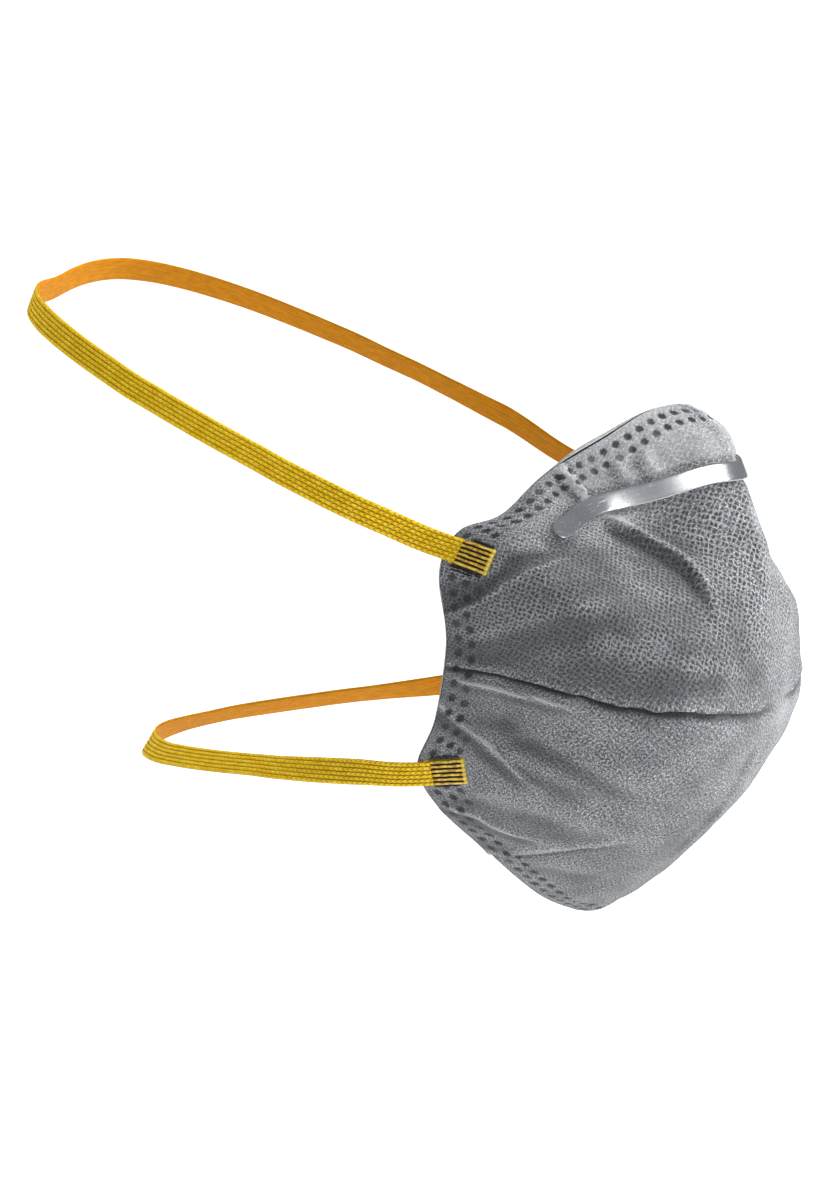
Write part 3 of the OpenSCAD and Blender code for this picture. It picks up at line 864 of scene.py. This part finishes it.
def web(name, cells, depth, relief, finish, beyond_edge=0.0):
    """One web of the cup as a closed sheet, its outer face at a depth under the cup's form."""
    thick = WEB_THICKNESS[name]
    piece, a, b = grid(name + "_web", cells, cells)
    b = follow_fold(a, b)
    round_share, m = square_round(a, b)
    u = np.interp(round_share * RIM, rim_run, NET_U)
    whole = np.interp(u, NET_U, wall)
    run = whole * ring_share(m)
    # t at that distance from the front, found by halving
    t = np.zeros(len(m))
    low, high = np.zeros(len(m)), np.ones(len(m))
    for _ in range(30):
        t = (low + high) / 2
        short = look_up(from_edge, u, t) < whole - run
        low, high = np.where(short, t, low), np.where(short, high, t)
    t = np.where(m <= 0, 1, np.where(m >= 1, 0, t))
    edge_far = whole - run
    angle = np.interp(u, NET_U, bearing)
    radius = flat_radius(run, whole)
    across, up = radius * np.sin(angle), radius * np.cos(angle)
    form = cup_at(u, t)
    x, above = form[:, 0], form[:, 2] > 0
    sag = LEFT_SAG * ease(-7, 9, x) * (1 - ease(24, 42, x))
    form[:, 2] -= sag * (1 - ease(2, 16, edge_far)) * above
    outward_edge = unit(cup_at(u, 0.0) - cup_at(u, 0.015))
    uneven = 0.75 + 0.5 * smooth_noise(round_share * RIM, 0 * m, 14, 61)
    form += outward_edge * (beyond_edge * uneven * (1 - ease(0, 1.5, edge_far)))[:, None]
    put(piece, form)
    out = normals(piece)
    loft = ease(BAND - 2, BAND + 1.5, edge_far)
    squeeze = WELD_SQUEEZE + (1 - WELD_SQUEEZE) * loft
    lift, marks = relief(across, up, edge_far, round_share * RIM, form)
    hang = marks.pop("hang", np.zeros(len(m)))
    down = np.array([0, 0, -1.0]) + out * out[:, 2:]
    put(piece, form + out * (lift - depth * squeeze)[:, None] + unit(down) * hang[:, None])
    for label, values in marks.items():
        paint(piece, label, values)
    laid = run * (1 + SPREAD * (run / whole)**2)
    lay_map(piece, "flat", laid * np.sin(angle), laid * np.cos(angle))
    lay_map(piece, "rim", round_share * RIM, edge_far, RIM)
    weigh(piece, "loft", loft)
    modify(piece, "SOLIDIFY", thickness=thick * MM, offset=-1, vertex_group="loft",
           thickness_vertex_group=WELD_SQUEEZE)
    smooth(piece, 60)
    coat(piece, finish)
    return piece


def swell(across, up, edge_far, place):
    """Soft uneven hills that all the webs share, none of them at the edge or under the clip."""
    out_from, turn = np.hypot(across, up), np.arctan2(across, up)
    hills = 0.7 * smooth_noise(across, up, 17, 5) + 0.35 * smooth_noise(across, up, 8, 9)
    hills += 0.5 * ease(20, 60, out_from) * smooth_noise(turn * 75, out_from / 4, 9, 15)
    calm = ease(2, 16, edge_far) * ease(5, 30, out_from)
    clip = ease(5, 11, np.abs(place[:, 2] - 36) + 30 * (np.abs(place[:, 0]) > 46))
    return hills * calm * (0.25 + 0.75 * clip)


def near_welds(place, reach):
    """1 at the welded strap ends, falling to 0 at a distance."""
    close_by = np.zeros(len(place))
    for middle in weld_middles:
        far = np.linalg.norm((place - middle) * (1, 0.8, 1), axis=1)
        close_by = np.maximum(close_by, 1 - ease(0.55 * reach, reach, far))
    return close_by


def clip_far(place):
    """Distance from the nose clip's middle line."""
    middle = clip_line(np.linspace(-CLIP_REACH, CLIP_REACH, 91), CLIP_T_MID, CLIP_T_END)[0]
    return np.sqrt(((place[:, None, :] - middle[None]) ** 2).sum(2).min(1))


def weld_dots(round_mm, edge_far, tab):
    """1 at the middle of each weld dot of the edge band."""
    spots = np.zeros(len(edge_far))
    for row, distance in enumerate(DOT_ROWS):
        x = ((round_mm / DOT_PITCH + 0.35 * row) % 1 - 0.5) * DOT_PITCH
        spot = 1 - ease(0.5, 1.3, np.hypot(x, edge_far - distance))
        spots = np.maximum(spots, spot * (tab if row == 2 else 1))
    return spots


def cover_relief(across, up, edge_far, round_mm, place):
    """Relief of the outer cover, and the values that its material reads."""
    tab = near_welds(place, 13)
    clip = ease(2.8, 4.6, clip_far(place))
    weld = near_welds(place, 8)
    folds, light, gap, hang = folds_over(across, up)
    above = up - np.interp(-np.abs(across), main_line[:, 0], main_line[:, 1])
    at_edge = ease(0.3, 5, edge_far)
    loose = ease(BAND - 3, BAND + 4, edge_far)
    free = clip * (1 - weld)
    lift = swell(across, up, edge_far, place) + np.maximum(folds, DEEPEST) * free * (0.3 + 0.7 * at_edge)
    lift += 0.3 * loose * free
    lift -= 0.33 * weld_dots(round_mm, edge_far, tab) * (1 - weld)
    fine = smooth_noise(across, up, 2.3, 3)
    lift += 0.12 * fine * at_edge * (1 - weld)
    # How clearly the bonded dots show: best above the main fold, and least at the nose and front
    fold_up = np.interp(across, main_line[:, 0], main_line[:, 1])
    clear = 0.35 + 0.65 * ease(-2, 10, up - fold_up)
    clear *= 1 - 0.55 * ease(44, 58, up)
    clear *= 1 - 0.35 * ease(30, 10, np.hypot(across, up))
    clear *= 1 - 0.35 * ease(-6, 8, across)
    # Painted light and shade: soft random patches, the nose and the far side lighter, the cheeks darker, and
    # painted shadow along the nose clip's edges
    light += 0.2 * smooth_noise(across, up, 6, 51) + 0.2 * smooth_noise(across + up, 2.2 * up, 9, 53)
    light += 0.3 * ease(-8, 6, across)
    side = ease(6, 24, np.abs(across)) * (1 - ease(46, 54, up))
    light -= 0.3 * side
    light += 0.75 * ease(47, 56, up) * ease(-52, -36, across) * (1 - ease(36, 52, across))
    light -= 0.24 * side * ease(-2, 8, above)
    # painted shadow beside the nose clip
    light -= 0.35 * np.exp(-((clip_far(place) - 3.2) / 0.9)**2)
    marks = {"clear": clear, "tab": tab, "crease": gap * free, "light": light * (1 - weld),
             "hang": hang * free * at_edge}
    return lift, marks


def hidden_relief(across, up, edge_far, round_mm, place):
    """Relief of a hidden web, which sinks with the cover's hollows."""
    folds = folds_over(across, up)[0]
    clip = ease(2.8, 4.6, clip_far(place))
    sink = 0.22 * ease(1.5, 3, edge_far) + 0.25 * ease(BAND - 2, BAND + 4, edge_far)
    return swell(across, up, edge_far, place) + np.clip(folds, DEEPEST, 0) * clip - sink, {}


def liner_relief(across, up, edge_far, round_mm, place):
    """Relief of the liner: smooth but for its weld dots."""
    tab = near_welds(place, 13)
    lift = swell(across, up, edge_far, place) + 0.25 * weld_dots(round_mm, edge_far, tab)
    lift += 0.12 * smooth_noise(across, up, 4, 12) * ease(4, 12, edge_far)
    lift -= 0.55 * ease(1.5, 3, edge_far)
    return lift, {}


# ---------------------------------------------------------------- nose clip, glue, foam and tape

CLIP_END_U = 4.05
CLIP_T_MID, CLIP_T_END, FOAM_T_MID, FOAM_T_END = 0.235, 0.125, 0.25, 0.16
CLIP_REACH = 1.04
CLIP_HALF = 54                # half length of the clip's line, in millimetres


def clip_line(s, t_mid, t_end):
    """A line over the nose on the cup's form, its normals and its sideways directions."""
    def place(k):
        return CLIP_END_U * k, t_mid + (t_end - t_mid) * k * k
    middle, out = cup_at(*place(s)), cup_normal(*place(s))
    run = unit(cup_at(*place(s + 0.01)) - cup_at(*place(s - 0.01)))
    return middle, out, unit(np.cross(out, run))


def strip(name, w, low, high, reach, square, finish, wave=0.0, t_ends=(CLIP_T_MID, CLIP_T_END)):
    """Strip along the clip's line with a rounded section and rounded ends."""
    piece, a, b = grid(name, 220, 40)
    s = a * reach
    from_end = (reach - np.abs(s)) * CLIP_HALF
    round_end = np.sqrt(np.clip(1 - (1 - np.minimum(from_end / (w / 2), 1))**2, 0.02, 1))
    middle, out, side = clip_line(s, *t_ends)
    angle = np.pi * (b + 1)
    c, d = np.cos(angle), np.sin(angle)
    x = np.sign(c) * np.abs(c)**(2 / square) * w / 2 * round_end
    y = (low + high) / 2 + np.sign(d) * np.abs(d)**(2 / square) * (high - low) / 2
    y += wave * smooth_noise(s * CLIP_HALF, x, 6, 21)
    put(piece, middle + side * x[:, None] + out * y[:, None])
    lay_map(piece, "lay", s * CLIP_HALF, x + np.where(d < 0, 20, 0))
    close(piece)
    smooth(piece, 50)
    coat(piece, finish)
    return piece


STACK = sum(WEB_THICKNESS.values())
FOAM_TOP = -STACK - TAPE_T    # height of the foam's glued face over the cup's form
nose_clip = strip("nose_clip_strip", CLIP_W - 0.3, GLUE_T, GLUE_T + CLIP_T, CLIP_REACH, 7, METAL, 0.06)
clip_glue = strip("clip_glue_bead", CLIP_W - 1, -0.15, GLUE_T, 0.96, 5, GLUE)
nose_foam = strip("nose_foam_pad", FOAM_W, FOAM_TOP - FOAM_T, FOAM_TOP, 0.88, 4.5, FOAM, 0.35,
                  (FOAM_T_MID, FOAM_T_END))

# ---------------------------------------------------------------- webs, from the outside in

depth = 0.0
webs = {}
PAST_EDGE = {"outer_cover": 0, "carbon_layer": 0.3, "filter_layer": 0.4, "support_shell": 0.5,
             "inner_liner": 0.9}      # each inner web is cut a little larger
for name, cells, relief, finish in (
        ("outer_cover", 216, cover_relief, COVER), ("carbon_layer", 96, hidden_relief, CARBON),
        ("filter_layer", 96, hidden_relief, FILTER), ("support_shell", 96, hidden_relief, SUPPORT),
        ("inner_liner", 200, liner_relief, LINER)):
    webs[name] = web(name, cells, depth, relief, finish, PAST_EDGE[name])
    depth += WEB_THICKNESS[name]

# ---------------------------------------------------------------- straps

# As in CAD, apart from REAR_UPRIGHT, JOIN and the ribs
UPPER_HALF, LOWER_HALF = 63, 61
UPPER_REACH, LOWER_REACH = 131, 90
UPPER_RISE, LOWER_FALL = math.radians(23.5), math.radians(6)
UPPER_LEAN, LOWER_LEAN = math.radians(31), math.radians(44)
LEAN_BY, START_OUT, START_FADE = 0.3, 2.2, 8
REAR_UPRIGHT = 0.5            # share of its lean that a strap loses behind the head
JOIN = 28                     # distance over which a strap's end runs in to its weld
REAR_DROP, REAR_FADE = 5, 6
RIBS = 6
STRAP_LOOP = 2 * 6 * RIBS     # faces round a strap: six to a rib on each face

upper_pin = weld_line(UPPER_WELD, [0])[0][0]
lower_pin = weld_line(LOWER_WELD, [0])[0][0]


def loop_at(h, half, reach, square, blunt):
    """Half loop at h: distance from the middle, and distance behind the weld."""
    a = np.radians(90 * h**(square / 2))
    return half * np.cos(a)**(2 / blunt), reach * np.sin(a)**(2 / square)


def upper_run(h):
    """Middle line of the upper strap's left half at h, from 0 at the weld to 1 behind the head."""
    x, r = loop_at(h, UPPER_HALF, UPPER_REACH, 3, 2.6)
    x = x - (UPPER_HALF - upper_pin[0] - START_OUT) * (1 - h)**START_FADE
    r = r + STRAP_GAP
    return np.stack([x, upper_pin[1] + r * math.cos(UPPER_RISE),
                     upper_pin[2] + r * math.sin(UPPER_RISE) - REAR_DROP * h**REAR_FADE], -1)


def lower_run(h):
    """The same for the lower strap."""
    x, r = loop_at(h, LOWER_HALF, LOWER_REACH, 1, 2.2)
    r = r + STRAP_GAP
    return np.stack([x, lower_pin[1] + r * math.cos(LOWER_FALL),
                     lower_pin[2] - r * math.sin(LOWER_FALL)], -1)


def strap_path(run_at, weld, lean):
    """Points of a strap's middle line and its widthwise directions there, from the right weld
    to the left one, with its ends led down onto the welds."""
    h = np.linspace(0, 1, 900)**1.15
    half = run_at(h)
    start, out = weld_line(weld, [0.12, 0.0])
    onto = start + out * (WELD_T + 0.1)
    join = np.linalg.norm(half - half[0], axis=1) > JOIN
    half, h = half[join], h[join]
    going = unit(onto[1] - onto[0])
    away = unit(half[1] - half[0])
    gap = np.linalg.norm(half[0] - onto[1])
    s = np.linspace(0, 1, 24, endpoint=False)[:, None]
    bend = ((2 * s**3 - 3 * s**2 + 1) * onto[1] + (s**3 - 2 * s**2 + s) * going * gap
            + (3 * s**2 - 2 * s**3) * half[0] + (s**3 - s**2) * away * gap)
    half = np.concatenate([onto[:1], bend, half])
    h = np.concatenate([[0], s[:, 0] * h[0], h])
    rank = np.concatenate([[0], s[:, 0], np.ones(len(half) - 1 - len(s))])
    run = unit(np.gradient(half, axis=0))
    rise = unit(np.array([0, 0, 1.0]) - run * run[:, 2:])
    outward = np.cross(run, rise)
    angle = (lean * ease(0, LEAN_BY, h) * (1 - REAR_UPRIGHT * ease(0.7, 1, h)))[:, None]
    wide = rise * np.cos(angle) - outward * np.sin(angle)
    over = unit(np.cross(out[1], going))
    over = over * np.sign(over @ wide[len(s) + 3])
    wide = unit(over * (1 - ease(0, 1, rank))[:, None] + wide * ease(0, 1, rank)[:, None])
    flip = np.array([-1, 1, 1])
    points = np.concatenate([half * flip, half[-2::-1]])
    wide = np.concatenate([wide * flip, wide[-2::-1]])
    # Even steps, with the middle behind the head rounded off
    along = run_over(points)
    even = np.linspace(0, along[-1], int(along[-1] / 0.5))
    points, wide = places_on(points, along, even), places_on(wide, along, even)
    bell = np.exp(-(np.arange(-30, 31) / 12)**2)
    bell /= bell.sum()
    share = ease(34, 16, np.abs(even - along[-1] / 2))[:, None]
    for line in (points, wide):
        soft = np.stack([np.convolve(line[:, k], bell, "same") for k in range(3)], -1)
        line += share * (soft - line)
    return points, wide


def strap(name, run_at, weld, lean):
    """Free run of a braided strap, with its lengthwise ribs."""
    points, wide = strap_path(run_at, weld, lean)
    along = run_over(points)
    length = along[-1]
    piece, a, b = grid(name, int(length / 0.55), STRAP_LOOP)
    at = (a + 1) / 2 * length
    middle = places_on(points, along, at)
    across = unit(places_on(wide, along, at))
    run = unit(places_on(points, along, at + 0.5) - places_on(points, along, at - 0.5))
    across = unit(across - run * (across * run).sum(1)[:, None])
    thick = np.cross(across, run)
    share = (b + 1) % 2                       # 0 to 1 over the outer face, 1 to 2 inside
    outer = share < 1
    x = np.where(outer, 2 * share - 1, 3 - 2 * share)
    rib = (x + 1) / 2 * RIBS % 1 - 0.5
    crown = np.sqrt(np.clip(1 - (2 * rib)**2, 0, 1))
    edge = np.sqrt(np.clip(1 - np.abs(x)**8, 0, 1))
    y = STRAP_T / 2 * edge * np.where(outer, 0.62 + 0.38 * crown, -0.86 - 0.06 * crown)
    near = np.minimum(at, length - at)
    y *= 0.75 + 0.25 * ease(0, 4, near)
    wander = 0.12 * smooth_noise(at, 0 * at, 9, 31)
    put(piece, middle + across * (x * STRAP_W / 2 * 0.985 + wander)[:, None] + thick * y[:, None])
    paint(piece, "open", 1 - 0.85 * ease(10, 70, near))
    lay_map(piece, "lay", at, share)
    close(piece)
    smooth(piece, 60)
    coat(piece, ELASTIC)
    return piece


upper_strap = strap("upper_strap_braid", upper_run, UPPER_WELD, UPPER_LEAN)
lower_strap = strap("lower_strap_braid", lower_run, LOWER_WELD, LOWER_LEAN)


# Bars beside each weld: distance from its middle line, width, start, end, and teeth
IMPRINTS = {
    UPPER_WELD: [(-3.75, 0.55, 0.28, 0.98, 0), (3.7, 0.5, 0.02, 0.85, 0), (4.5, 0.4, 0.08, 0.72, 0)],
    LOWER_WELD: [(-3.5, 0.3, 0.1, 0.9, 0.8), (3.6, 0.3, 0.1, 0.8, 0)]}


def strap_end(name, weld, side, seed):
    """Welded end of a strap: ribs pressed flat and melted, with a bright lip at the front and
    dark flash squeezed out of the cover on both sides."""
    piece, a, b = grid(name, 60, STRAP_LOOP)
    l = (a + 1) / 2
    shares = np.linspace(0, 1, 21)
    line, out_line = weld_line(weld, shares)
    l = -0.06 + 1.1 * l
    base = places_on(line, shares, l)
    run = unit(line[-1] - line[0])
    base += run * (np.minimum(l, 0) + np.maximum(l - 1, 0))[:, None] * WELD_L
    out = unit(places_on(out_line, shares, l))
    across = unit(np.cross(out, run))
    share = (b + 1) % 2
    outer = share < 1
    x = np.where(outer, 2 * share - 1, 3 - 2 * share)
    rib = (x + 1) / 2 * RIBS % 1 - 0.5
    crown = np.clip(1 - (2 * rib)**2, 0, 1)**0.6
    lip = ease(0.93, 0.98, l)
    ends = np.sqrt(np.clip(1 - np.clip((l - 0.98) / 0.06, 0, 1)**2, 0, 1))
    rough = 0.10 * smooth_noise(l * 9 + 50 * seed, x * 3, 1.1, seed)
    pressed = ease(-0.04, 0.12, l)
    top = (0.42 + 0.38 * crown + rough) * (1 - lip) + (0.68 + 2 * rough) * lip
    top = top + (1 - pressed) * 0.35
    edge = np.sqrt(np.clip(1 - np.abs(x)**10, 0, 1))
    y = np.where(outer, top * ends * edge, -0.15)
    w = STRAP_W / 2 * (1.0 + 0.05 * pressed + 0.02 * smooth_noise(l * 9, 0 * l, 1.3, seed + 7))
    points = base + across * (x * w)[:, None] + out * y[:, None]
    put(piece, points * (side, 1, 1))
    paint(piece, "rib", np.where(outer, crown**1.6, 0.3))
    paint(piece, "lip", np.clip(0.6 * lip + 0.5 * ease(0.93, 0.99, np.abs(x)), 0, 1) * outer
          + (1 - pressed))
    paint(piece, "flash", 0 * l)
    lay_map(piece, "lay", l * WELD_L, share)
    close(piece)
    imprints = [imprint(name, weld, side, seed, *bar) for bar in IMPRINTS[weld]]
    alone(piece)
    for bar in imprints:
        bar.select_set(True)
    bpy.ops.object.join()
    smooth(piece, 50)
    coat(piece, MELTED)
    return piece


def imprint(name, weld, side, seed, place, width, start, stop, teeth):
    """Black bar that the welding tool has pressed and melted beside the strap."""
    piece, a, b = grid(name + "_bar", 64, 12)
    l = start + (stop - start) * (a + 1) / 2
    shares = np.linspace(0, 1, 21)
    line, out_line = weld_line(weld, shares)
    base = places_on(line, shares, l)
    out = unit(places_on(out_line, shares, l))
    across = unit(np.cross(out, unit(line[-1] - line[0])))
    angle = np.pi * (b + 1)
    c, d = np.cos(angle), np.sin(angle)
    ends = np.sqrt(np.clip(1 - np.abs(a)**6, 0.02, 1))
    zigzag = teeth * np.abs(((l * WELD_L / 1.5) % 1) - 0.5) * 2
    outside = c * place > 0
    half = width / 2 + np.where(outside, zigzag, 0) + 0.08 * smooth_noise(l * 9, c, 0.8, seed)
    x = place + c * half * ends
    y = 0.03 + np.where(d > 0, 0.16, -0.12) * np.abs(d)**0.5
    put(piece, (base + across * x[:, None] + out * y[:, None]) * (side, 1, 1))
    paint(piece, "rib", 0 * l)
    paint(piece, "lip", 0 * l)
    paint(piece, "flash", 0 * l + 1)
    lay_map(piece, "lay", l * WELD_L, (b + 1) / 2)
    close(piece)
    return piece


strap_ends = {}
for seed, (label, weld, side) in enumerate((
        ("upper_strap_end_left", UPPER_WELD, 1), ("upper_strap_end_right", UPPER_WELD, -1),
        ("lower_strap_end_left", LOWER_WELD, 1), ("lower_strap_end_right", LOWER_WELD, -1))):
    strap_ends[label] = strap_end(label + "_melt", weld, side, seed + 2)

# ---------------------------------------------------------------- CAD pieces that stay

coat(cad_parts["foam_tape"], TAPE)

# ---------------------------------------------------------------- what each piece stands for


def stand_for(piece, node_name, body="cup"):
    """Hides the CAD node that a piece replaces, and ties the piece to a body if one is given."""
    if body:
        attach(piece, body)
    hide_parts(node_name)


for name, piece in webs.items():
    stand_for(piece, name)
stand_for(nose_clip, "nose_clip")
stand_for(clip_glue, "clip_glue")
stand_for(nose_foam, "nose_foam")
for name, piece in strap_ends.items():
    stand_for(piece, name)

for piece, name, body, pin, angle in (
        (upper_strap, "upper_strap", "upper_loop", upper_pin, UPPER_RISE),
        (lower_strap, "lower_strap", "lower_loop", lower_pin, -LOWER_FALL)):
    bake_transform(piece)
    stand_for(piece, name, None)

# ---------------------------------------------------------------- light and floor

world = bpy.data.worlds.new("studio")
bpy.context.scene.world = world
world.use_nodes = True
tree = world.node_tree
# White where the camera sees past the floor, and a soft grey light on the mask
room = tree.nodes["Background"]
feed(tree, room.inputs, {"Color": (0.93, 0.96, 1, 1), "Strength": 0.30})
seen = node(tree, "Background", {"Color": (1, 1, 1, 1), "Strength": 1.0})
path = node(tree, "LightPath").outputs["Is Camera Ray"]
mixed = node(tree, "MixShader", {0: path, 1: room.outputs[0], 2: seen.outputs[0]})
feed(tree, tree.nodes["World Output"].inputs, {"Surface": mixed.outputs[0]})


def lamp(name, place, aim, size, power, mirrored=False):
    """Soft square light, which the metal mirrors only if it is meant to."""
    light = bpy.data.lights.new(name, "AREA")
    light.shape = "SQUARE"
    light.size = size
    light.energy = power
    made = bpy.data.objects.new(name, light)
    bpy.context.scene.collection.objects.link(made)
    made.visible_glossy = mirrored
    made.location = place
    made.rotation_mode = "QUATERNION"
    made.rotation_quaternion = (Vector(aim) - Vector(place)).to_track_quat("-Z", "Y")


lamp("key", (0.85, -1.3, 0.95), (0, -0.03, 0), 0.8, 40)
lamp("front", (-0.42, -1.58, 0.5), (0, -0.03, 0), 0.5, 7, mirrored=True)
lamp("top", (0.7, 0.2, 1.6), (0, -0.02, 0), 0.7, 18)
lamp("fill", (-1.7, -0.2, 0.25), (0, 0, 0), 0.6, 7)
lamp("back", (0.6, 1.4, 0.7), (0, 0, 0), 0.9, 8)

bpy.ops.object.select_all(action="DESELECT")
bpy.ops.mesh.primitive_plane_add(size=60, location=(0, 0, -0.6))
floor = bpy.context.object
floor.name = "floor"
pale, tree, shader = finish_of("floor_paint", Base_Color=(0.9, 0.9, 0.9, 1), Roughness=0.8)
shader.inputs["Emission Color"].default_value = (1, 1, 1, 1)
floor_path = node(tree, "LightPath").outputs["Is Camera Ray"]
wire(tree, shader, Emission_Strength=calc(tree, "MULTIPLY_ADD", floor_path, 0.75, 0.25))
floor.data.materials.append(pale)

bpy.context.scene.view_settings.view_transform = "Standard"
